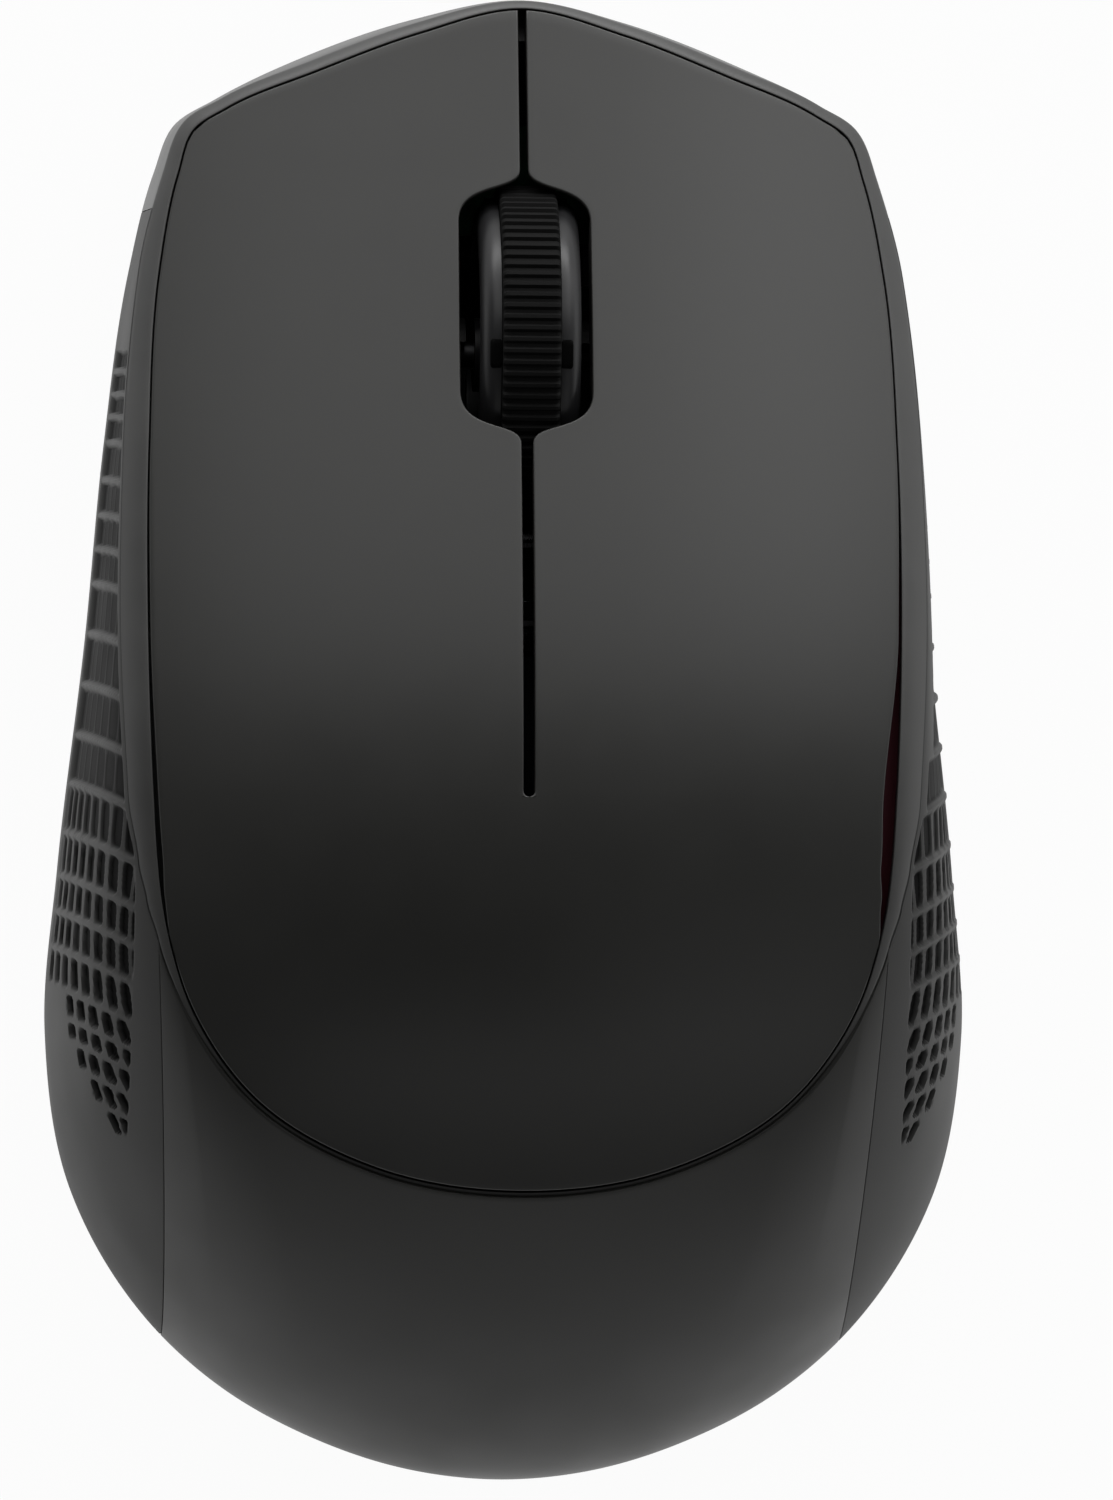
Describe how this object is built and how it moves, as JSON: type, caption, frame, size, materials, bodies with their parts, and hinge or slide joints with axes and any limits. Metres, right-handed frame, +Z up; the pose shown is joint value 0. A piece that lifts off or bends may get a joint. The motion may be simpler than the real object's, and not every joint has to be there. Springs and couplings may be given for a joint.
{
  "type": "computer mouse",
  "caption": "Wireless computer mouse: low rounded body with a split top plate whose halves click, a ribbed scroll wheel in a well, textured side grips and a battery door below.",
  "frame": {"origin": "on the desk, under the middle of the outline", "axes": "+Y to the front of the mouse, where the buttons are; +Z up; +X to the right under the hand"},
  "size_m": [0.065, 0.105, 0.038],
  "materials": {
    "plate_plastic": "fine satin",
    "frame_plastic": "satin",
    "cover_plastic": "satin",
    "grip_rubber": "moulded cells, matte",
    "base_plastic": "matte",
    "wheel_plastic": "gloss",
    "tyre_rubber": "ribbed, matte",
    "steel": "plain",
    "black_steel": "blackened",
    "fork_plastic": "matte",
    "pale_plastic": "matte",
    "board": "solder mask",
    "chip": "matte",
    "lens": "clear",
    "capacitor_sleeve": "gloss",
    "ferrite": "matte",
    "plunger": "matte",
    "emitter": "gloss",
    "slider_plastic": "matte",
    "cell_sleeve": "plain sleeve",
    "foot": "slick"
  },
  "bodies": {
    "base": {"base_plate": "base_plastic", "top_frame": "frame_plastic", "rear_cover": "cover_plastic", "left_grip": "grip_rubber", "right_grip": "grip_rubber", "palm_cover": "plate_plastic", "fork_spring": "steel", "circuit_board": "board", "sensor_chip": "chip", "sensor_lens": "lens", "controller_chip": "chip", "crystal_can": "steel", "capacitor": "capacitor_sleeve", "inductor": "ferrite", "left_switch": "chip", "right_switch": "chip", "middle_switch": "chip", "encoder_emitter": "emitter", "encoder_receiver": "chip", "power_switch": "steel", "battery_cell": "cell_sleeve", "battery_spring": "steel", "battery_contact": "steel", "front_foot": "foot", "rear_feet": "foot", "case_screws": "steel", "board_screws": "steel"},
    "left_key": {"left_button": "plate_plastic"},
    "right_key": {"right_button": "plate_plastic"},
    "left_pin": {"left_plunger": "plunger"},
    "right_pin": {"right_plunger": "plunger"},
    "middle_pin": {"middle_plunger": "plunger"},
    "fork": {"wheel_fork": "fork_plastic", "wheel_axle": "black_steel", "detent_leaf": "steel"},
    "wheel": {"wheel_hub": "wheel_plastic", "wheel_tyre": "tyre_rubber"},
    "slider": {"power_slider": "slider_plastic"},
    "door": {"battery_door": "base_plastic"},
    "receiver": {"receiver_cap": "base_plastic", "receiver_plug": "steel", "receiver_tongue": "pale_plastic"}
  },
  "joints": [
    {"name": "left_click", "type": "hinge", "parent": "base", "child": "left_key", "pos_m": [-0.013, -0.00388, 0.035], "axis": [-1, 0, 0], "range_deg": [0, 0.75], "stiffness_Nm_per_rad": 2, "springref_deg": -0.17},
    {"name": "right_click", "type": "hinge", "parent": "base", "child": "right_key", "pos_m": [0.013, -0.00388, 0.035], "axis": [-1, 0, 0], "range_deg": [0, 0.75], "stiffness_Nm_per_rad": 2, "springref_deg": -0.17},
    {"name": "left_pin_press", "type": "slide", "parent": "base", "child": "left_pin", "axis": [0, 0, -1], "range_m": [0, 0.0006]},
    {"name": "right_pin_press", "type": "slide", "parent": "base", "child": "right_pin", "axis": [0, 0, -1], "range_m": [0, 0.0006]},
    {"name": "wheel_click", "type": "hinge", "parent": "base", "child": "fork", "pos_m": [0, 0.014, 0.015], "axis": [-1, 0, 0], "range_deg": [0, 1.7], "stiffness_Nm_per_rad": 0.35, "springref_deg": -0.57, "deforming": ["fork_spring"]},
    {"name": "wheel_spin", "type": "hinge", "parent": "fork", "child": "wheel", "pos_m": [0, 0.0272, 0.0182], "axis": [1, 0, 0], "continuous": true},
    {"name": "middle_pin_press", "type": "slide", "parent": "base", "child": "middle_pin", "axis": [0, 0, -1], "range_m": [0, 0.00045]},
    {"name": "power_slide", "type": "slide", "parent": "base", "child": "slider", "axis": [0, 1, 0], "range_m": [0, 0.003]},
    {"name": "door_slide", "type": "slide", "parent": "base", "child": "door", "axis": [0, -1, 0], "range_m": [0, 0.06]},
    {"name": "receiver_pull", "type": "slide", "parent": "base", "child": "receiver", "axis": [0, 0, -1], "range_m": [0, 0.02]}
  ],
  "couplings": [
    {"joint": "left_pin_press", "follows": "left_click", "m_per_rad": 0.04338},
    {"joint": "right_pin_press", "follows": "right_click", "m_per_rad": 0.04338},
    {"joint": "middle_pin_press", "follows": "wheel_click", "m_per_rad": 0.0135}
  ]
}
